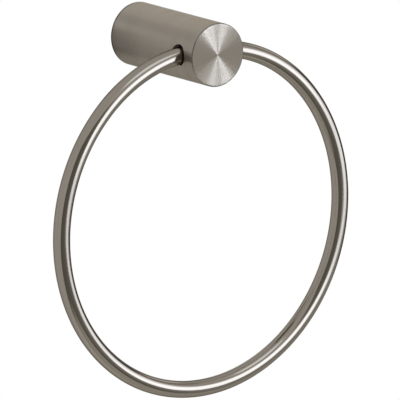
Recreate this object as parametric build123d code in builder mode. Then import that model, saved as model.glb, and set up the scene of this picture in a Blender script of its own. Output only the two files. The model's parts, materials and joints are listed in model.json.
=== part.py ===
from build123d import *

import os
from math import radians, sin, sqrt

# Towel ring in millimetres. The wall is the plane Y = 0, the post stands out of it along -Y, and +Z is up.

# Post: a turned bar with a blind socket at the wall end and a cross bore near the front
post_diameter = 30.0
post_length = 63.0
post_front_break = 0.5
post_back_break = 0.4
socket_wall = 3.0
socket_lead_in = 0.5

# Ring: a round bar with a short straight run at the top, a tighter arc at each shoulder and one large arc below
ring_outside_diameter = 170.0
bar_diameter = 8.0
ring_top_run = 8.0
ring_shoulder_turn = 45.0

# Cross bore: the play is the room left round the slightly curved bar, and the ring hangs low in it
bore_setback = 11.0
bore_play = 0.4
bore_edge_round = 0.35
rest_clearance = 0.2

# Wall bracket: a disc that fills the socket, with a V groove at 45 degrees between its flange and its lip
bracket_clearance = 0.2
bracket_flange = 2.6
bracket_lip = 2.6
bracket_edge_break = 0.4
groove_depth = 2.4
socket_floor_gap = 2.0
wall_screw_spacing = 12.0
wall_screw_hole = 4.5
wall_screw_head = 8.6

# Set screw: a cone point that bears on the groove's front flank and draws the post to the wall
set_screw_diameter = 4.0
set_screw_offset = 0.3
set_screw_recess = 0.25
set_screw_break = 0.3
set_screw_thread_clearance = 0.05
set_screw_seat_gap = 0.05
hex_across_flats = 2.0
hex_depth = 1.8

# Radii and lengths that follow from the sizes above
post_radius = post_diameter / 2
bar_radius = bar_diameter / 2
socket_radius = post_radius - socket_wall
bracket_radius = socket_radius - bracket_clearance
bracket_thickness = bracket_flange + 2 * groove_depth + bracket_lip
socket_depth = bracket_thickness + socket_floor_gap
bore_y = post_length - bore_setback

# The centre line's three radii: straight run, shoulders, main arc, each tangent to the next
ring_radius = ring_outside_diameter / 2 - bar_radius
half_run = ring_top_run / 2
shoulder_radius = ring_radius - half_run / sin(radians(ring_shoulder_turn))

# The bar's centre line drops by the sag between the middle of the bore and its mouths
curved_reach = max(post_radius - half_run, 0)
bar_sag = shoulder_radius - sqrt(shoulder_radius**2 - curved_reach**2)
bore_radius = bar_radius + bar_sag / 2 + bore_play
hinge_z = rest_clearance - bore_play
ring_top_z = hinge_z + bar_sag / 2

# The set screw's cone lies along the groove's front flank, and its socket end stays below the post's surface
groove_y = bracket_flange + groove_depth
set_screw_radius = set_screw_diameter / 2
set_screw_y = groove_y + set_screw_offset
set_screw_tip = bracket_radius - groove_depth + set_screw_offset + set_screw_seat_gap * sqrt(2)
set_screw_end = post_radius - set_screw_recess

os.makedirs("parts", exist_ok=True)

# Post: the half section, read from the front face round to the socket's floor, turned about the post's axis
with BuildPart() as post:
    with BuildSketch(Plane.YZ):
        with BuildLine():
            Polyline(
                (-post_length, 0),
                (-post_length, post_radius - post_front_break),
                (-post_length + post_front_break, post_radius),
                (-post_back_break, post_radius),
                (0, post_radius - post_back_break),
                (0, socket_radius + socket_lead_in),
                (-socket_lead_in, socket_radius),
                (-socket_depth, socket_radius),
                (-socket_depth, 0),
                close=True,
            )
        make_face()
    revolve(axis=Axis.Y)

    # Tapped hole on the underside, from inside the socket out through its wall
    with BuildSketch(Plane.XY):
        with Locations((0, -set_screw_y)):
            Circle(set_screw_radius + set_screw_thread_clearance)
    extrude(amount=-post_diameter, mode=Mode.SUBTRACT)

    # Cross bore, with both saddle-shaped mouths rounded over
    with BuildSketch(Plane.YZ):
        with Locations((-bore_y, 0)):
            Circle(bore_radius)
    extrude(amount=post_diameter, both=True, mode=Mode.SUBTRACT)
    bore_mouths = post.edges(Select.LAST).filter_by(GeomType.LINE, reverse=True)
    fillet(bore_mouths, radius=bore_edge_round)
post.part.label = "post"
export_step(post.part, "parts/post.step")

# Ring: one bar swept round its closed centre line, starting at the straight run inside the bore
with BuildPart() as ring:
    with BuildLine(Plane.XZ.offset(bore_y)) as centre_line:
        run = Line((-half_run, ring_top_z), (half_run, ring_top_z))
        right = JernArc(run @ 1, run % 1, shoulder_radius, -ring_shoulder_turn)
        lower = JernArc(right @ 1, right % 1, ring_radius, 2 * ring_shoulder_turn - 360)
        JernArc(lower @ 1, lower % 1, shoulder_radius, -ring_shoulder_turn)
    with BuildSketch(Plane(origin=centre_line.line @ 0, z_dir=centre_line.line % 0)):
        Circle(bar_radius)
    sweep()
ring.part.label = "ring"
export_step(ring.part, "parts/ring.step")

# Wall bracket: flange, V groove and lip turned in one profile, then the two countersunk holes
with BuildPart() as wall_bracket:
    with BuildSketch(Plane.YZ):
        with BuildLine():
            Polyline(
                (0, 0),
                (0, bracket_radius - bracket_edge_break),
                (-bracket_edge_break, bracket_radius),
                (-bracket_flange, bracket_radius),
                (-groove_y, bracket_radius - groove_depth),
                (-groove_y - groove_depth, bracket_radius),
                (-bracket_thickness + bracket_edge_break, bracket_radius),
                (-bracket_thickness, bracket_radius - bracket_edge_break),
                (-bracket_thickness, 0),
                close=True,
            )
        make_face()
    revolve(axis=Axis.Y)
    with Locations(Plane.XZ.offset(bracket_thickness)):
        with GridLocations(wall_screw_spacing, wall_screw_spacing, 2, 1):
            CounterSinkHole(wall_screw_hole / 2, wall_screw_head / 2, counter_sink_angle=90)
wall_bracket.part.label = "wall_bracket"
export_step(wall_bracket.part, "parts/wall_bracket.step")

# Set screw: cone point, plain body and a broken edge turned in one profile, then the hexagon socket
with BuildPart() as set_screw:
    with BuildSketch(Plane.XZ.offset(set_screw_y)):
        with BuildLine():
            Polyline(
                (0, -set_screw_tip),
                (set_screw_radius, -set_screw_tip - set_screw_radius),
                (set_screw_radius, -set_screw_end + set_screw_break),
                (set_screw_radius - set_screw_break, -set_screw_end),
                (0, -set_screw_end),
                close=True,
            )
        make_face()
    revolve(axis=Axis((0, -set_screw_y, 0), (0, 0, 1)))
    with BuildSketch(Plane.XY.offset(-set_screw_end)):
        with Locations((0, -set_screw_y)):
            RegularPolygon(hex_across_flats / 2, side_count=6, major_radius=False)
    extrude(amount=hex_depth, mode=Mode.SUBTRACT)
set_screw.part.label = "set_screw"
export_step(set_screw.part, "parts/set_screw.step")
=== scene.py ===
import json
from math import cos, pi, radians, sin, sqrt, tan

import bmesh
import bpy
import numpy as np
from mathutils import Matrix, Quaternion, Vector


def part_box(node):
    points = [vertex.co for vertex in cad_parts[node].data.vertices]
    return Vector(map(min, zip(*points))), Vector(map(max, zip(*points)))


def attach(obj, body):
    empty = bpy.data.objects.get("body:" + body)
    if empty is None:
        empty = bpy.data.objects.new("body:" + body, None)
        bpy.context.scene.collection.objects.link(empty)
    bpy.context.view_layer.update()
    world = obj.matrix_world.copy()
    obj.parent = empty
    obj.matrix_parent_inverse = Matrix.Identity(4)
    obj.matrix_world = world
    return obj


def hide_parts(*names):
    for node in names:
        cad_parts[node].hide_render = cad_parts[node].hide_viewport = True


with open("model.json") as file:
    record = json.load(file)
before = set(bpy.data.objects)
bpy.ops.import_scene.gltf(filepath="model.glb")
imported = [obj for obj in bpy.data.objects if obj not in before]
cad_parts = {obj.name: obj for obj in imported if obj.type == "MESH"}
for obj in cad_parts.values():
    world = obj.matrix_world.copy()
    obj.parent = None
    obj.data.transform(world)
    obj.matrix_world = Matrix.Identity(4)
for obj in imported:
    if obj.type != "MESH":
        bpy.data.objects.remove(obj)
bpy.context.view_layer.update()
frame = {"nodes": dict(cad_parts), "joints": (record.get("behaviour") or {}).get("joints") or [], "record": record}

mm = 0.001
scene = bpy.context.scene
scene.view_settings.view_transform = "Standard"
postLow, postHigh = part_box("post")
ringLow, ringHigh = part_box("ring")
screwLow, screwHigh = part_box("set_screw")
discLow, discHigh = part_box("wall_bracket")
wallMount = next(m for m in frame["record"]["mounts"] if m["name"] == "wall_screws")
boreAlong = frame["joints"][0]["pos_m"][1]
print("frame loaded:", ", ".join(sorted(frame["nodes"])))


# mesh tools

joining = {
    "weldGap": 0.0015 * mm,     # points closer than this become one
    "slimEdge": 0.0001 * mm,    # edges shorter than this are removed
    "sharpTurn": 32.0,          # degrees between faces that meet in a crisp edge
}


def spaced(start, end, steps):
    return np.linspace(start, end, steps + 1)


# One sheet of surface: a grid of points, its UV grid, and which of the piece's finishes it has.
def sheet(points, u, v, finish=0):
    u, v = np.broadcast_arrays(u, v)
    return {"points": points, "uv": np.stack([u, v], -1), "finish": finish}


# Sheets to one closed mesh: each grid cell is a quad, edges that lie on each other are welded,
# and poles close to a point.
def buildPiece(name, sheets, finishes, body, node):
    points, quads, uvs, marks, count = [], [], [], [], 0
    for s in sheets:
        m, n = s["points"].shape[:2]
        first = (np.arange(m - 1)[:, None] * n + np.arange(n - 1)).reshape(-1, 1)
        cells = first + np.array([0, 1, n + 1, n])
        points.append(s["points"].reshape(-1, 3))
        uvs.append(s["uv"].reshape(-1, 2)[cells].reshape(-1))
        quads.append(cells + count)
        marks.append(np.full(len(cells), s["finish"]))
        count += m * n
    mesh = bpy.data.meshes.new(name)
    mesh.from_pydata(np.concatenate(points).tolist(), [], np.concatenate(quads).tolist())
    mesh.uv_layers.new(name="follow").data.foreach_set("uv", np.concatenate(uvs))
    mesh.polygons.foreach_set("material_index", np.concatenate(marks).astype(np.int32))
    bm = bmesh.new()
    bm.from_mesh(mesh)
    bmesh.ops.remove_doubles(bm, verts=bm.verts, dist=joining["weldGap"])
    bmesh.ops.dissolve_degenerate(bm, edges=bm.edges, dist=joining["slimEdge"])
    bmesh.ops.recalc_face_normals(bm, faces=bm.faces)
    openEdges = sum(not e.is_manifold for e in bm.edges)
    bm.to_mesh(mesh)
    bm.free()
    mesh.shade_smooth()
    mesh.set_sharp_from_angle(angle=radians(joining["sharpTurn"]))
    for finish in finishes:
        mesh.materials.append(finish)
    piece = bpy.data.objects.new(name, mesh)
    scene.collection.objects.link(piece)
    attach(piece, body)
    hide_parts(node)
    print(f"{name}: {len(mesh.polygons)} faces, {openEdges} open edges")
    return piece


# A point round the post's axis: x is radius times the turn's cosine, z radius times its sine,
# and y is the place along the axis.
def roundPost(radius, turn, along):
    radius, turn, along = np.broadcast_arrays(radius, turn, along)
    return np.stack([radius * np.cos(turn), along, radius * np.sin(turn)], -1)


# A profile of radius and place along the axis, carried round the axis through all the turns.
def turnedSheet(radius, along, turns, finish=0):
    radius, along = np.broadcast_arrays(np.asarray(radius, float), np.asarray(along, float))
    run = np.concatenate([[0], np.cumsum(np.hypot(np.diff(radius), np.diff(along)))])
    points = roundPost(radius[:, None], turns[None], along[:, None])
    return sheet(points, run[:, None], turns[None] * radius.max(), finish)


# A quarter round between two directions: centre plus size times (cosine, sine) of an angle
# that sweeps between them.
def roundProfile(centreRadius, centreAlong, size, fromAngle, toAngle, steps=6):
    a = np.radians(spaced(fromAngle, toAngle, steps))
    return centreRadius + size * np.cos(a), centreAlong + size * np.sin(a)


# A closed rectangle in (turn, along), walked side by side, with its first corner repeated at the end.
def frameLoop(halfTurn, halfAlong, turnSteps, alongSteps):
    a = spaced(-1, 1, turnSteps)[:-1]
    b = spaced(-1, 1, alongSteps)[:-1]
    one, two = np.ones_like(a), np.ones_like(b)
    turn = np.concatenate([a, two, -a, -two, [-1]]) * halfTurn
    along = np.concatenate([-one, b, one, -b, [-1]]) * halfAlong
    return turn, along


holeShape = {
    "spokeSteps": 12,    # from the rectangle to the rounded edge
    "crowding": 0.8,     # below 1 gathers the steps at the edge
    "lipSteps": 8,       # round the edge
}


# A rounded hole through a round wall. A ball of the edge's radius rolls in the corner of wall and hole,
# so its centre is that far inside both, and the edge is the ball's arc between its two touching points.
# Spokes of the wall's own surface join the arc to a rectangle of the wall's grid.
# Returns the sheets, the hole's end and the walk round it.
def holeMouth(wallRadius, facing, middleTurn, middleAlong, holeRadius, edge, patch, finish):
    turn, along = frameLoop(*patch)
    walk = np.unwrap(np.arctan2(wallRadius * turn, along))
    across = (holeRadius + edge) * np.sin(walk)
    ballAlong = (holeRadius + edge) * np.cos(walk)
    ballRadius = wallRadius - facing * edge
    ballTurn = np.arcsin(across / ballRadius)
    k = spaced(0, 1, holeShape["spokeSteps"]) ** holeShape["crowding"]
    spokeTurn = middleTurn + turn[:, None] * (1 - k) + ballTurn[:, None] * k
    spokeAlong = middleAlong + along[:, None] * (1 - k) + ballAlong[:, None] * k
    spokes = sheet(roundPost(wallRadius, spokeTurn, spokeAlong), spokeAlong, spokeTurn * wallRadius, finish)

    ball = roundPost(ballRadius, middleTurn + ballTurn, middleAlong + ballAlong)
    outward = facing * roundPost(1.0, middleTurn + ballTurn, 0.0)
    side = np.array([-sin(middleTurn), 0.0, cos(middleTurn)])
    inward = -(np.sin(walk)[:, None] * side + np.cos(walk)[:, None] * np.array([0.0, 1.0, 0.0]))
    swing = np.arccos((outward * inward).sum(-1))[:, None, None]
    f = spaced(0, 1, holeShape["lipSteps"])[None, :, None]
    arc = (np.sin((1 - f) * swing) * outward[:, None] + np.sin(f * swing) * inward[:, None]) / np.sin(swing)
    rounded = ball[:, None] + edge * arc
    lip = sheet(rounded, rounded[..., 1], (middleTurn + ballTurn)[:, None] * wallRadius, finish)
    return [spokes, lip], rounded[:, -1], walk


# node tools

oneGrain = (0.25, 0.75)    # where most of a noise lies


def addNode(tree, kind, inputs=None, **settings):
    made = tree.nodes.new(kind)
    for key, value in settings.items():
        setattr(made, key, value)
    for key, value in (inputs or {}).items():
        if isinstance(value, bpy.types.NodeSocket):
            tree.links.new(value, made.inputs[key])
        else:
            made.inputs[key].default_value = value
    return made


def newMaterial(name, **sockets):
    made = bpy.data.materials.new(name)
    made.use_nodes = True
    shader = made.node_tree.nodes["Principled BSDF"]
    for key, value in sockets.items():
        shader.inputs[key].default_value = value
    return made, made.node_tree, shader


# A material for the stage, with nothing in it but its output.
def bareMaterial(name):
    made = bpy.data.materials.new(name)
    made.use_nodes = True
    made.node_tree.nodes.clear()
    return made, made.node_tree, addNode(made.node_tree, "ShaderNodeOutputMaterial")


# Grain that is fine across the cut and long along it: noise on Object coordinates,
# stretched by a scale in each direction.
def grain(tree, scale, detail=2.0, rough=0.55):
    coords = addNode(tree, "ShaderNodeTexCoord")
    placed = addNode(tree, "ShaderNodeMapping", {"Vector": coords.outputs["Object"], "Scale": scale})
    return addNode(tree, "ShaderNodeTexNoise", {"Vector": placed.outputs["Vector"], "Scale": 1.0,
                                                "Detail": detail, "Roughness": rough}).outputs["Fac"]


def worked(tree, operation, one, two):
    return addNode(tree, "ShaderNodeMath", {0: one, 1: two}, operation=operation).outputs[0]


def vectorWorked(tree, operation, *inputs):
    return addNode(tree, "ShaderNodeVectorMath", dict(enumerate(inputs)), operation=operation)


def spread(tree, value, low, high, within=oneGrain):
    return addNode(tree, "ShaderNodeMapRange", {"Value": value, "From Min": within[0], "From Max": within[1],
                                                "To Min": low, "To Max": high}).outputs["Result"]


def softSpread(tree, value, start, end):
    return addNode(tree, "ShaderNodeMapRange", {"Value": value, "From Min": start, "From Max": end},
                   interpolation_type="SMOOTHSTEP").outputs["Result"]


# Colour between two: the Mix node's sockets 6 and 7 are its colours, and its output 2 is their mix.
def tinted(tree, amount, dark, light):
    mixed = addNode(tree, "ShaderNodeMix", {"Factor": amount, 6: (*dark, 1.0), 7: (*light, 1.0)},
                    data_type="RGBA")
    return mixed.outputs[2]


def bumped(tree, height, strength, distance):
    bump = addNode(tree, "ShaderNodeBump", {"Height": height, "Strength": strength, "Distance": distance})
    return bump.outputs["Normal"]


# One shader over another, by a share from 0 to 1.
def overlaid(tree, share, under, over):
    return addNode(tree, "ShaderNodeMixShader", {"Fac": share, 1: under, 2: over}).outputs[0]


# A finish on its shader: one value gives the tone between dark and light, another the roughness.
def dress(tree, shader, finish, tone, roughness, normal, within=oneGrain, roughWithin=oneGrain):
    colour = tinted(tree, spread(tree, tone, 0.0, 1.0, within), finish["dark"], finish["light"])
    tree.links.new(colour, shader.inputs["Base Color"])
    tree.links.new(spread(tree, roughness, *finish["rough"], roughWithin), shader.inputs["Roughness"])
    tree.links.new(normal, shader.inputs["Normal"])


# The shine stretches by the lines of the piece's own UV map.
def followLines(tree, shader):
    follow = addNode(tree, "ShaderNodeTangent", direction_type="UV_MAP", uv_map="follow")
    tree.links.new(follow.outputs["Tangent"], shader.inputs["Tangent"])


# finishes: scales are in waves per metre, and a relief is a bump's strength and depth

glancingTint = (0.34, 0.33, 0.31, 1.0)    # what the nickel goes down to at its outlines

sideFinish = {
    "dark": (0.252, 0.225, 0.190),
    "light": (0.292, 0.262, 0.223),
    "toneWithin": (0.65, 1.35),    # sums of two grains that give the dark and the light tone
    "rough": (0.385, 0.435),
    "stretch": 0.8,
    "lines": (90, 7000, 90),
    "cloud": (45, 160, 45),
    "relief": (0.05, 0.02 * mm),
}


# Post side: lathe lines that run round the bar, so the shine spreads along it.
def turnedNickel(finish):
    made, tree, shader = newMaterial("turnedNickel", **{"Metallic": 1.0, "Anisotropic": finish["stretch"],
                                                        "Specular Tint": glancingTint})
    lines = grain(tree, finish["lines"], detail=3.0)
    cloud = grain(tree, finish["cloud"])
    dress(tree, shader, finish, worked(tree, "ADD", lines, cloud), lines,
          bumped(tree, lines, *finish["relief"]), within=finish["toneWithin"])
    followLines(tree, shader)
    return made


faceFinish = {
    "dark": (0.234, 0.208, 0.176),
    "light": (0.270, 0.242, 0.206),
    "toneWithin": (0.6, 1.4),
    "rough": (0.235, 0.29),
    "stretch": 1.0,
    "rings": 9000.0,
    "rays": 9.0,                  # on a circle of radius 1
    "rayRough": 0.72,
    "ringRelief": (0.1, 0.02 * mm),
    "rayRelief": (1.0, 0.5 * mm),
}


# Front face: the same cut as rings about the middle, so the shine opens as two fans. The rays are a height
# that grows with the distance from the middle, so that each leans the surface sideways by as much near the
# rim as near the middle.
def spunNickel(finish):
    made, tree, shader = newMaterial("spunNickel", **{"Metallic": 1.0, "Anisotropic": finish["stretch"],
                                                      "Specular Tint": glancingTint})
    coords = addNode(tree, "ShaderNodeTexCoord")
    flat = vectorWorked(tree, "MULTIPLY", coords.outputs["Object"], (1, 0, 1)).outputs[0]
    outward = vectorWorked(tree, "LENGTH", flat).outputs["Value"]
    around = vectorWorked(tree, "NORMALIZE", flat).outputs[0]
    rings = addNode(tree, "ShaderNodeTexNoise", {"W": outward, "Scale": finish["rings"], "Detail": 3.0},
                    noise_dimensions="1D").outputs["Fac"]
    rays = addNode(tree, "ShaderNodeTexNoise", {"Vector": around, "Scale": finish["rays"], "Detail": 5.0,
                                                "Roughness": finish["rayRough"]}).outputs["Fac"]
    leaned = bumped(tree, worked(tree, "MULTIPLY", rays, outward), *finish["rayRelief"])
    strength, depth = finish["ringRelief"]
    cut = addNode(tree, "ShaderNodeBump", {"Height": rings, "Strength": strength, "Distance": depth,
                                           "Normal": leaned})
    dress(tree, shader, finish, worked(tree, "ADD", rings, rays), rays, cut.outputs["Normal"],
          within=finish["toneWithin"])
    followLines(tree, shader)
    return made


# Front rim: tones darker than the side, painted shade for the dark line along the rounded rim.
rimShadeFinish = {
    "dark": (0.105, 0.0945, 0.0825),
    "light": (0.19, 0.171, 0.149),
    "rough": (0.24, 0.34),
    "lines": (500, 4000, 500),
    "relief": (0.08, 0.02 * mm),
}
# Back rim and the band in front of it: still darker tones, painted shade for the dark outline at the wall end.
heelShadeFinish = {**rimShadeFinish, "dark": (0.06, 0.054, 0.047), "light": (0.11, 0.099, 0.086)}


# Broken edge at an end of the post: smoother than the satin beside it, and darker in colour, which is painted
# shade for the dark line along the post's outline at that end.
def shadedEdge(name, finish):
    made, tree, shader = newMaterial(name, **{"Metallic": 1.0, "Specular Tint": glancingTint})
    lines = grain(tree, finish["lines"], detail=3.0)
    dress(tree, shader, finish, lines, lines, bumped(tree, lines, *finish["relief"]))
    return made


insideFinish = {
    "dark": (0.34, 0.298, 0.25),
    "light": (0.46, 0.41, 0.35),
    "rough": (0.42, 0.55),
    "metal": 0.2,
    "lines": (4000, 400, 400),
    "relief": (0.2, 0.03 * mm),
}


# Bore, socket and tapped hole: a plain drilled wall under a dull film, so it scatters more than it mirrors.
def drilledNickel(finish):
    made, tree, shader = newMaterial("drilledNickel", **{"Metallic": finish["metal"],
                                                         "Specular Tint": glancingTint})
    lines = grain(tree, finish["lines"], detail=3.0)
    dress(tree, shader, finish, lines, lines, bumped(tree, lines, *finish["relief"]))
    return made


ringFinish = {
    "dark": (0.216, 0.1905, 0.16),
    "light": (0.272, 0.243, 0.207),
    "toneWithin": (0.6, 1.4),
    "rough": (0.10, 0.16),
    "lines": (14, 1900, 1),       # along the bar, round it
    "lineRough": 0.6,
    "speck": (2600, 2600, 2600),
    "speckRough": 0.65,
    "relief": (0.05, 0.02 * mm),
}


# Ring: drawn bar, smoother than the post, with faint lines that run along it and a fine speck.
def drawnNickel(finish):
    made, tree, shader = newMaterial("drawnNickel", **{"Metallic": 1.0, "Specular Tint": glancingTint})
    follow = addNode(tree, "ShaderNodeUVMap", uv_map="follow")
    drawn = addNode(tree, "ShaderNodeMapping", {"Vector": follow.outputs["UV"], "Scale": finish["lines"]})
    lines = addNode(tree, "ShaderNodeTexNoise", {"Vector": drawn.outputs["Vector"], "Scale": 1.0,
                                                 "Detail": 3.0, "Roughness": finish["lineRough"]},
                    noise_dimensions="2D")
    speck = grain(tree, finish["speck"], detail=3.0, rough=finish["speckRough"])
    both = worked(tree, "ADD", speck, lines.outputs["Fac"])
    dress(tree, shader, finish, both, both, bumped(tree, both, *finish["relief"]),
          within=finish["toneWithin"], roughWithin=finish["toneWithin"])
    return made


zincFinish = {
    "dark": (0.36, 0.37, 0.38),
    "light": (0.48, 0.49, 0.50),
    "rough": (0.38, 0.56),
    "bloom": (220, 220, 220),
    "bloomRough": 0.6,
    "speck": (1800, 1800, 1800),
    "relief": (0.15, 0.03 * mm),
}


# Bracket: dull zinc plate with a faint blotchy bloom.
def zincPlate(finish):
    made, tree, shader = newMaterial("zincPlate", **{"Metallic": 1.0})
    bloom = grain(tree, finish["bloom"], detail=4.0, rough=finish["bloomRough"])
    speck = grain(tree, finish["speck"])
    dress(tree, shader, finish, bloom, bloom, bumped(tree, speck, *finish["relief"]))
    return made


oxideFinish = {
    "dark": (0.032, 0.033, 0.036),
    "light": (0.07, 0.07, 0.075),
    "rough": (0.3, 0.46),
    "bloom": (900, 900, 900),
    "bloomRough": 0.6,
    "relief": (0.15, 0.02 * mm),
}


# Set screw: black oxide, a little oily.
def darkSteel(finish):
    made, tree, shader = newMaterial("darkSteel", **{"Metallic": 1.0})
    bloom = grain(tree, finish["bloom"], detail=3.0, rough=finish["bloomRough"])
    dress(tree, shader, finish, bloom, bloom, bumped(tree, bloom, *finish["relief"]))
    return made


# The post's finishes, and the places that its sheets give them by.
onSide, onFace, onInside, onHeelShade, onRimShade = range(5)
# The heel and rim finishes are painted shade: their dark colours stand in for the dark lines at the post's two
# rims.
postFinishes = [turnedNickel(sideFinish), spunNickel(faceFinish), drilledNickel(insideFinish),
                shadedEdge("heelEdge", heelShadeFinish), shadedEdge("rimEdge", rimShadeFinish)]
print("finishes made")


# ring

ringShape = {
    "topRun": 8.0 * mm,        # straight part inside the post
    "shoulderTurn": 45.0,      # degrees of the tighter bend on each side
    "bendSteps": 720,
    "barSteps": 64,
}
barRadius = (ringHigh.y - ringLow.y) / 2
bendRadius = (ringHigh.x - ringLow.x) / 2 - barRadius
shoulderRadius = bendRadius - ringShape["topRun"] / 2 / sin(radians(ringShape["shoulderTurn"]))


# The centre line by its heading: the point is the bend's centre plus its radius times (sine, cosine)
# of the heading. Shoulders have the smaller radius, and the straight run joins the last heading to the first.
def ringBar(shape):
    turn, half, top = radians(shape["shoulderTurn"]), shape["topRun"] / 2, ringHigh.z - barRadius
    drop = top - shoulderRadius + (shoulderRadius - bendRadius) * cos(turn)
    heading = spaced(0, 2 * pi, shape["bendSteps"])
    first, last = heading <= turn, heading >= 2 * pi - turn
    radius = np.where(first | last, shoulderRadius, bendRadius)
    centreX = np.where(first, half, np.where(last, -half, 0.0))
    centreZ = np.where(first | last, top - shoulderRadius, drop)
    outward = np.stack([np.sin(heading), np.zeros_like(heading), np.cos(heading)], -1)
    line = np.stack([centreX, np.full_like(heading, boreAlong), centreZ], -1) + radius[:, None] * outward
    line, outward = np.concatenate([line, line[:1]]), np.concatenate([outward, outward[:1]])
    run = np.concatenate([[0], np.cumsum(np.linalg.norm(np.diff(line, axis=0), axis=1))])
    girth = spaced(0, 2 * pi, shape["barSteps"])
    wallward = np.array([0.0, 1.0, 0.0])
    around = np.cos(girth)[None, :, None] * outward[:, None] + np.sin(girth)[None, :, None] * wallward
    return [sheet(line[:, None] + barRadius * around, run[:, None], barRadius * girth[None])]


ringPiece = buildPiece("ringBar", ringBar(ringShape), [drawnNickel(ringFinish)],
                       "ring", "ring")


# post

postShape = {
    "borePlay": 0.4 * mm,              # room left round the slightly curved bar
    "mouthRound": 0.35 * mm,
    "frontRound": 0.5 * mm,
    "backRound": 0.4 * mm,
    "backBand": 0.7 * mm,              # painted shade: a dark band that runs on from the back rim
    "socketRadius": 12.0 * mm,
    "socketDepth": 12.0 * mm,
    "leadIn": 0.5 * mm,
    "tapPlay": 0.05 * mm,
    "tapRound": 0.12 * mm,
    "turnSteps": 240,
    "mouthSpan": (24, 40, 8.5 * mm),   # half width in turn steps, steps along, half length
    "tapSpan": (10, 16, 3.5 * mm),
    "faceSteps": 24,
    "sideSteps": (4, 40, 3),           # before the bore, between the holes, behind the tapped hole
    "boreSteps": 30,
    "backSteps": 4,
    "socketSteps": (3, 6),             # from the wall end to the tapped hole, and from there to the floor
    "floorSteps": 12,
    "tapSteps": 8,
}


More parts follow.
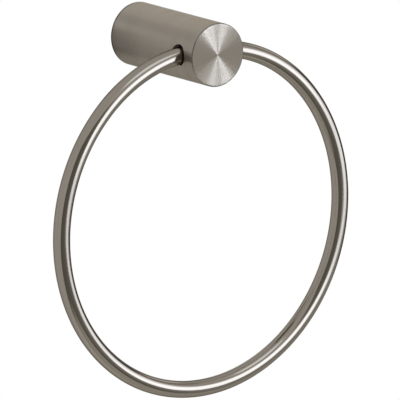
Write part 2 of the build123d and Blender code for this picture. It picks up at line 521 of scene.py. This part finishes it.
# Face, side and socket are profiles carried round the axis. Where a hole breaks through, the belt of the
# side is left open by a rectangle and the hole's mouth fills it. The bore and the tapped hole are walls
# between two mouths. The bore's radius is the bar's, plus the play, plus half of the bar's sag in the post.
def turnedPost(shape):
    radius, front, back = postHigh.x, postLow.y, postHigh.y
    count = shape["turnSteps"]
    step, quarter = 2 * pi / count, count // 4
    fullTurn = spaced(0, 2 * pi, count)
    edge, rear = shape["frontRound"], shape["backRound"]
    tapAlong = (screwLow.y + screwHigh.y) / 2
    tap = (screwHigh.x - screwLow.x) / 2 + shape["tapPlay"]
    curved = radius - ringShape["topRun"] / 2
    sag = shoulderRadius - sqrt(shoulderRadius ** 2 - curved ** 2)
    bore = barRadius + sag / 2 + shape["borePlay"]
    sheets = []

    def belt(wall, fromAlong, toAlong, steps, fromStep=0, toStep=count, finish=onSide):
        turns = np.arange(fromStep, toStep + 1) * step
        along = spaced(fromAlong, toAlong, steps)
        points = roundPost(wall, turns[None], along[:, None])
        sheets.append(sheet(points, along[:, None], wall * turns[None], finish))

    def mouth(wall, facing, middleStep, middleAlong, hole, rounding, span, finish=onSide):
        halfSteps, alongSteps, halfAlong = span
        patch = (halfSteps * step, halfAlong, 2 * halfSteps, alongSteps)
        made, end, walk = holeMouth(wall, facing, middleStep * step, middleAlong, hole, rounding,
                                    patch, finish)
        sheets.extend(made)
        return end, walk

    # spun face and its rounded rim
    sheets.append(turnedSheet(spaced(0, radius - edge, shape["faceSteps"]), front, fullTurn, onFace))
    # the rounded front rim takes the rim colours, whose darkness is painted shade
    sheets.append(turnedSheet(*roundProfile(radius - edge, front + edge, edge, -90, 0), fullTurn, onRimShade))

    # side, from the front to the wall
    half, bands, reach = shape["mouthSpan"]
    tapHalf, tapBands, tapReach = shape["tapSpan"]
    foreSteps, middleSteps, rearSteps = shape["sideSteps"]
    boreFront, boreBack = boreAlong - reach, boreAlong + reach
    tapFront, tapBack = tapAlong - tapReach, tapAlong + tapReach
    tapOpen = (3 * quarter + tapHalf - count, 3 * quarter - tapHalf)
    shadeBandFront = back - rear - shape["backBand"]
    belt(radius, front + edge, boreFront, foreSteps)
    belt(radius, boreFront, boreBack, bands, half, 2 * quarter - half)
    belt(radius, boreFront, boreBack, bands, 2 * quarter + half, count - half)
    belt(radius, boreBack, tapFront, middleSteps)
    belt(radius, tapFront, tapBack, tapBands, *tapOpen)
    belt(radius, tapBack, shadeBandFront, rearSteps)
    # last band of the side before the back rim, coloured with painted shade
    belt(radius, shadeBandFront, back - rear, 1, finish=onHeelShade)

    # cross bore
    right, walk = mouth(radius, 1, 0, boreAlong, bore, shape["mouthRound"], shape["mouthSpan"])
    mouth(radius, 1, 2 * quarter, boreAlong, bore, shape["mouthRound"], shape["mouthSpan"])
    left = right * np.array([-1.0, 1.0, 1.0])
    f = spaced(0, 1, shape["boreSteps"])[None, :, None]
    wall = right[:, None] * (1 - f) + left[:, None] * f
    sheets.append(sheet(wall, wall[..., 0], walk[:, None] * bore, onInside))

    # wall end: rounded rim, flat back, lead-in, socket wall and floor
    socket, depth, lead = shape["socketRadius"], back - shape["socketDepth"], shape["leadIn"]
    outerSteps, innerSteps = shape["socketSteps"]
    flatBack = spaced(radius - rear, socket + lead, shape["backSteps"])
    # the back rim takes the heel colours, painted shade for the dark outline at the wall end
    sheets.append(turnedSheet(*roundProfile(radius - rear, back - rear, rear, 0, 90), fullTurn, onHeelShade))
    sheets.append(turnedSheet(flatBack, back, fullTurn))
    sheets.append(turnedSheet([socket + lead, socket], [back, back - lead], fullTurn, onInside))
    belt(socket, back - lead, tapBack, outerSteps, finish=onInside)
    belt(socket, tapBack, tapFront, tapBands, *tapOpen, finish=onInside)
    belt(socket, tapFront, depth, innerSteps, finish=onInside)
    sheets.append(turnedSheet(spaced(socket, 0, shape["floorSteps"]), depth, fullTurn, onInside))

    # tapped hole from the underside into the socket
    rounding, span = shape["tapRound"], shape["tapSpan"]
    outer, outerWalk = mouth(radius, 1, 3 * quarter, tapAlong, tap, rounding, span)
    inner, innerWalk = mouth(socket, -1, 3 * quarter, tapAlong, tap, rounding, span, onInside)
    f = spaced(0, 1, shape["tapSteps"])[None]
    walk = outerWalk[:, None] * (1 - f) + innerWalk[:, None] * f
    down = outer[:, 2:3] * (1 - f) + inner[:, 2:3] * f
    tapWall = np.stack([tap * np.sin(walk), tapAlong + tap * np.cos(walk), down], -1)
    sheets.append(sheet(tapWall, down, tap * walk, onInside))
    return sheets


postPiece = buildPiece("turnedPost", turnedPost(postShape), postFinishes,
                       "wall_post", "post")


# set screw

screwShape = {
    "hexFlats": 2.0 * mm,
    "hexDepth": 1.8 * mm,
    "hexPoint": 0.3 * mm,      # shallow point at the bottom of the socket
    "edgeBreak": 0.3 * mm,
    "threadPitch": 0.7 * mm,
    "threadDepth": 0.36 * mm,
    "threadFlat": 0.1,         # share of the half wave that is flat, at crest and at root
    "threadFade": 0.12,        # share of the length that fades at each end
    "turnSteps": 72,
    "threadSteps": 60,
    "rimSteps": 6,
    "hexSteps": 8,
    "pointSteps": 3,
}


# Thread: the radius falls by a wave of the height plus one pitch for each turn, and the wave fades out at
# both ends. Socket: a hexagon's reach is half its flats over the cosine of the angle from the nearest
# flat's middle.
def grubScrew(shape):
    radius = (screwHigh.x - screwLow.x) / 2
    midAlong, end, tip = (screwLow.y + screwHigh.y) / 2, screwLow.z, screwHigh.z
    turns = spaced(0, 2 * pi, shape["turnSteps"])
    breakSize, flat = shape["edgeBreak"], shape["threadFlat"]

    def stacked(reach, height):
        reach, height, turn = np.broadcast_arrays(reach, height, turns[None])
        points = np.stack([reach * np.cos(turn), midAlong + reach * np.sin(turn), height], -1)
        return sheet(points, height, turn * radius)

    rise = spaced(end + breakSize, tip - radius, shape["threadSteps"])[:, None]
    share = (rise - rise[0]) / (rise[-1] - rise[0])
    fade = np.clip(np.minimum(share, 1 - share) / shape["threadFade"], 0, 1)
    phase = (rise / shape["threadPitch"] + turns[None] / (2 * pi)) % 1.0
    cut = np.clip((np.abs(2 * phase - 1) - flat) / (1 - 2 * flat), 0, 1)
    thread = stacked(radius - shape["threadDepth"] * fade * cut, rise)

    offFlat = (turns + pi / 6) % (pi / 3) - pi / 6
    hexagon = shape["hexFlats"] / 2 / np.cos(offFlat)
    k = spaced(0, 1, shape["rimSteps"])[:, None]
    rim = (radius - breakSize) * (1 - k) + hexagon[None] * k
    floor = end + shape["hexDepth"]
    p = spaced(0, 1, shape["pointSteps"])[:, None]
    return [
        stacked(np.array([[0.0], [radius]]), np.array([[tip], [tip - radius]])),
        thread,
        stacked(np.array([[radius], [radius - breakSize]]), np.array([[end + breakSize], [end]])),
        stacked(rim, end),
        stacked(hexagon[None], spaced(end, floor, shape["hexSteps"])[:, None]),
        stacked(hexagon[None] * (1 - p), floor + shape["hexPoint"] * p),
    ]


screwPiece = buildPiece("grubScrew", grubScrew(screwShape), [darkSteel(oxideFinish)],
                        "wall_post", "set_screw")


# wall bracket

discShape = {
    "flange": 2.6 * mm,
    "grooveDepth": 2.4 * mm,
    "edgeBreak": 0.4 * mm,
    "headRadius": 4.3 * mm,
    "arcSteps": 96,
    "chordSteps": 40,
    "spokeSteps": 8,
}


# Rim: a V groove profile carried round. Each face is two halves, and each half is spokes from its screw
# hole to the half disc's outline, an arc and a chord. A hole is a straight wall, then a cone that opens
# by as much as it rises.
def bracketDisc(shape):
    radius, back, front = discHigh.x, discHigh.y, discLow.y
    flange, groove, edge = shape["flange"], shape["grooveDepth"], shape["edgeBreak"]
    reach = wallMount["dims"]["spacing_x_mm"] * mm / 2
    hole, head = wallMount["dims"]["hole_r_mm"] * mm, shape["headRadius"]
    turns = spaced(-pi / 2, 3 * pi / 2, 2 * shape["arcSteps"])
    grooveBack, grooveMiddle = back - flange, back - flange - groove
    rim = [radius - edge, radius, radius, radius - groove, radius, radius, radius - edge]
    place = [back, back - edge, grooveBack, grooveMiddle, grooveMiddle - groove, front + edge, front]
    sheets = [turnedSheet(rim, place, turns)]

    arc = spaced(-pi / 2, pi / 2, shape["arcSteps"])
    chord = spaced(1, -1, shape["chordSteps"])[1:]
    flat = radius - edge
    outX = np.concatenate([flat * np.cos(arc), np.zeros_like(chord)])[:, None]
    outZ = np.concatenate([flat * np.sin(arc), flat * chord])[:, None]
    walk = np.unwrap(np.arctan2(outZ, outX - reach), axis=0)
    k = spaced(0, 1, shape["spokeSteps"])[None]
    sizes = np.array([[hole, hole, head]])
    levels = np.array([[back, front + head - hole, front]])

    for side in (1, -1):
        for level, size in ((back, hole), (front, head)):
            x = outX * (1 - k) + (reach + size * np.cos(walk)) * k
            z = outZ * (1 - k) + size * np.sin(walk) * k
            sheets.append(sheet(np.stack([side * x, np.full_like(x, level), z], -1), x, z))
        x, z = reach + sizes * np.cos(walk), sizes * np.sin(walk)
        points = np.stack([side * x, np.broadcast_to(levels, x.shape), z], -1)
        sheets.append(sheet(points, levels, walk * hole))
    return sheets


discPiece = buildPiece("bracketDisc", bracketDisc(discShape), [zincPlate(zincFinish)],
                       "wall_post", "wall_bracket")


# camera

shot = {
    "azimuth": 37.101,
    "elevation": 12.2313,
    "roll": 0.451,
    "distance": 4.8,
    "aim": Vector((-1.318 * mm, boreAlong, -70.307 * mm)),
    "lens": 929.82,
    "sensor": 36.0,
    "clip": (0.1, 30.0),
}
az, el = radians(shot["azimuth"]), radians(shot["elevation"])
look = Vector((sin(az) * cos(el), cos(az) * cos(el), -sin(el)))
level = look.to_track_quat("-Z", "Y")
camera = bpy.data.objects.new("camera", bpy.data.cameras.new("camera"))
camera.data.lens, camera.data.sensor_width = shot["lens"], shot["sensor"]
camera.data.clip_start, camera.data.clip_end = shot["clip"]
camera.location = shot["aim"] - shot["distance"] * look
camera.rotation_euler = (level @ Quaternion((0, 0, 1), radians(shot["roll"]))).to_euler()
scene.collection.objects.link(camera)
scene.camera = camera
print("camera set")


# stage: floor, lamps and cards

studio = {
    "floorLevel": -0.66,
    "floorSize": 6.0,
    "floorColour": (0.86, 0.86, 0.855, 1.0),
    "floorFade": (0.25, 0.75),    # distances over which the floor goes over to white
    "worldFill": 0.35,
}
white = (1.0, 1.0, 1.0)
cool = (0.895, 1.0, 1.19)


# Direction from the object: azimuth 0 is straight out from the wall and grows to the right,
# and elevation is above level.
def towards(azimuth, elevation):
    a, e = radians(azimuth), radians(elevation)
    return Vector((sin(a) * cos(e), -cos(a) * cos(e), sin(e)))


# Width and height of a flat thing that fills a spread of degrees at a distance.
def filling(distance, wide, high):
    return 2 * distance * tan(radians(wide / 2)), 2 * distance * tan(radians(high / 2))


# An oval soft box that lights only the things it is given. The roll turns it about the line to the object.
def softBox(name, about, on, azimuth, elevation, wide, high, glow, distance=1.0, tint=white, roll=0.0):
    lamp = bpy.data.lights.new(name, "AREA")
    lamp.shape = "ELLIPSE"
    lamp.size, lamp.size_y = filling(distance, wide, high)
    lamp.energy = pi * lamp.size * lamp.size_y * glow
    lamp.color = tint
    made = bpy.data.objects.new(name, lamp)
    made.location = about + distance * towards(azimuth, elevation)
    facing = (-towards(azimuth, elevation)).to_track_quat("-Z", "Y")
    made.rotation_euler = (facing @ Quaternion((0, 0, 1), radians(roll))).to_euler()
    made.visible_camera = False
    lit = bpy.data.collections.new(name)
    for thing in on:
        lit.objects.link(thing)
    made.light_linking.receiver_collection = lit
    scene.collection.objects.link(made)


# A card that only the metal sees, as a flag beside a product on a studio table. It shades from its left
# to its right, and it fades out over the outer share of its half width and half height.
def card(name, about, azimuth, elevation, wide, high, distance, left, right, fade=0.1):
    width, height = filling(distance, wide, high)
    mesh = bpy.data.meshes.new(name)
    corners = np.array([[-1, -1, 0], [1, -1, 0], [1, 1, 0], [-1, 1, 0]]) * [width / 2, height / 2, 1]
    mesh.from_pydata(corners.tolist(), [], [[0, 1, 2, 3]])
    paint, tree, out = bareMaterial(name)
    coords = addNode(tree, "ShaderNodeTexCoord")
    place = vectorWorked(tree, "MULTIPLY", coords.outputs["Object"], (2 / width, 2 / height, 0)).outputs[0]
    across = addNode(tree, "ShaderNodeSeparateXYZ", {0: place}).outputs["X"]
    sides = addNode(tree, "ShaderNodeSeparateXYZ", {0: vectorWorked(tree, "ABSOLUTE", place).outputs[0]})
    edge = worked(tree, "MAXIMUM", sides.outputs["X"], sides.outputs["Y"])
    colour = tinted(tree, spread(tree, across, 0.0, 1.0, within=(1.0, -1.0)), left, right)
    shine = addNode(tree, "ShaderNodeEmission", {"Color": colour, "Strength": 1.0})
    clear = addNode(tree, "ShaderNodeBsdfTransparent")
    both = overlaid(tree, softSpread(tree, edge, 1.0, 1.0 - fade), clear.outputs[0], shine.outputs[0])
    tree.links.new(both, out.inputs["Surface"])
    mesh.materials.append(paint)
    made = bpy.data.objects.new(name, mesh)
    made.location = about + distance * towards(azimuth, elevation)
    made.rotation_euler = towards(azimuth, elevation).to_track_quat("-Z", "Y").to_euler()
    made.visible_camera = made.visible_diffuse = made.visible_shadow = False
    scene.collection.objects.link(made)


# 1 where a surface is seen: by the camera, in a reflection or through something clear.
def seenRay(tree):
    path = addNode(tree, "ShaderNodeLightPath").outputs
    seen = worked(tree, "MAXIMUM", path["Is Camera Ray"], path["Is Glossy Ray"])
    return worked(tree, "MAXIMUM", seen, path["Is Transmission Ray"])


# Pale floor. It goes over to plain white with the distance from the object, and its underside is clear.
def paleFloor():
    size, level = studio["floorSize"] / 2, studio["floorLevel"]
    corners = [(-size, -size, level), (size, -size, level), (size, size, level), (-size, size, level)]
    mesh = bpy.data.meshes.new("floor")
    mesh.from_pydata(corners, [], [[0, 1, 2, 3]])
    paint, tree, out = bareMaterial("paleFloor")
    matt = addNode(tree, "ShaderNodeBsdfDiffuse", {"Color": studio["floorColour"]})
    glow = addNode(tree, "ShaderNodeEmission", {"Color": (*white, 1.0), "Strength": 1.0})
    coords = addNode(tree, "ShaderNodeTexCoord")
    flat = vectorWorked(tree, "MULTIPLY", coords.outputs["Object"], (1, 1, 0)).outputs[0]
    away = vectorWorked(tree, "LENGTH", flat).outputs["Value"]
    share = worked(tree, "MULTIPLY", seenRay(tree), softSpread(tree, away, *studio["floorFade"]))
    upper = overlaid(tree, share, matt.outputs[0], glow.outputs[0])
    under = addNode(tree, "ShaderNodeNewGeometry").outputs["Backfacing"]
    clear = addNode(tree, "ShaderNodeBsdfTransparent")
    tree.links.new(overlaid(tree, under, upper, clear.outputs[0]), out.inputs["Surface"])
    mesh.materials.append(paint)
    made = bpy.data.objects.new("floor", mesh)
    scene.collection.objects.link(made)
    return made


# White surroundings at strength 1 where they are seen, a lower fill for everything else.
def whiteWorld():
    world = bpy.data.worlds.new("studio")
    scene.world = world
    world.use_nodes = True
    world.cycles.sampling_method = "NONE"
    tree = world.node_tree
    back = tree.nodes["Background"]
    back.inputs["Color"].default_value = (*white, 1.0)
    strength = spread(tree, seenRay(tree), studio["worldFill"], 1.0, within=(0.0, 1.0))
    tree.links.new(strength, back.inputs["Strength"])


floorPiece = paleFloor()
whiteWorld()
onRing = [ringPiece]
onPost = [postPiece, screwPiece, discPiece]
hoop = Vector((0.0, boreAlong, (ringLow.z + ringHigh.z) / 2))
face = Vector((0.0, postLow.y, 0.0))
heel = Vector((0.0, postHigh.y, 0.0))

# lamps on the ring
softBox("ringBox", hoop, onRing, azimuth=40, elevation=5.8, wide=72, high=42, glow=1.6, tint=cool)
softBox("ringCore", hoop, onRing, azimuth=33, elevation=6.0, wide=48, high=28, glow=1.15, tint=cool)
softBox("ringEdge", hoop, onRing, azimuth=57, elevation=-6, wide=36, high=12, glow=0.35, tint=cool)
softBox("ringTop", hoop, onRing, azimuth=14, elevation=57, wide=32, high=24, glow=1.1, tint=cool)
softBox("ringBack", hoop, onRing, azimuth=157, elevation=13, wide=24, high=26, glow=1.1, tint=cool)
softBox("ringSide", hoop, onRing, azimuth=106, elevation=28, wide=20, high=18, glow=0.6, tint=cool)

# lamps that open the fans on the spun face
softBox("fanStrong", face, onPost, azimuth=24.8, elevation=6.5, wide=5.5, high=28, glow=7.6,
        tint=cool, roll=29.5)
softBox("fanThin", face, onPost, azimuth=30.9, elevation=7.9, wide=3.4, high=28, glow=8.0,
        tint=cool, roll=11.6)
softBox("fanBroad", face, onPost, azimuth=42.4, elevation=6.5, wide=8.7, high=28, glow=5.5,
        tint=cool, roll=-24.0)
softBox("fanTail", face, onPost, azimuth=49.7, elevation=3.0, wide=14.7, high=24, glow=1.2,
        tint=cool, roll=-47.9)

# lamps on the post's side and rim
softBox("backBox", face, onPost, azimuth=155, elevation=45, wide=60, high=50, glow=0.36)
softBox("rimBox", face, onPost, azimuth=147, elevation=18, wide=40, high=26, glow=1.2)
softBox("lowBox", face, onPost, azimuth=-15, elevation=-55, wide=60, high=45, glow=1.5, distance=0.12)
softBox("postTop", face, onPost, azimuth=0, elevation=58, wide=55, high=26, glow=0.85, distance=0.9)
softBox("sideBox", face, onPost, azimuth=-150, elevation=8, wide=30, high=26, glow=0.27, distance=0.12)

# lamp on the floor
softBox("floorBox", hoop, [floorPiece], azimuth=15, elevation=70, wide=14, high=14, glow=100.0, distance=1.4)

# cards round the ring, and one close to the post's wall end
card("cameraCard", hoop, azimuth=-26, elevation=-5, wide=56, high=82, distance=0.62,
     left=(0.235, 0.238, 0.215), right=(0.36, 0.357, 0.325))
card("nearCard", hoop, azimuth=-10, elevation=-51, wide=80, high=26, distance=0.45,
     left=(0.26, 0.255, 0.23), right=(0.30, 0.295, 0.27), fade=0.35)
card("rightCard", hoop, azimuth=93, elevation=-1, wide=36, high=44, distance=0.8,
     left=(0.235, 0.238, 0.245), right=(0.215, 0.218, 0.225), fade=0.2)
card("upperCard", hoop, azimuth=83, elevation=32, wide=16, high=36, distance=0.85,
     left=(0.62, 0.615, 0.61), right=(0.62, 0.615, 0.61), fade=0.4)
card("frontCard", hoop, azimuth=41, elevation=-32, wide=78, high=36, distance=0.7,
     left=(0.27, 0.262, 0.237), right=(0.86, 0.86, 0.845))
card("tableCard", hoop, azimuth=20, elevation=-72, wide=100, high=44, distance=0.3,
     left=(0.70, 0.69, 0.645), right=(1.02, 1.03, 1.01), fade=0.4)
card("heelCard", heel, azimuth=-142, elevation=-18, wide=90, high=90, distance=0.035,
     left=(0.2, 0.19, 0.18), right=(0.2, 0.19, 0.18), fade=0.7)
print("stage set")
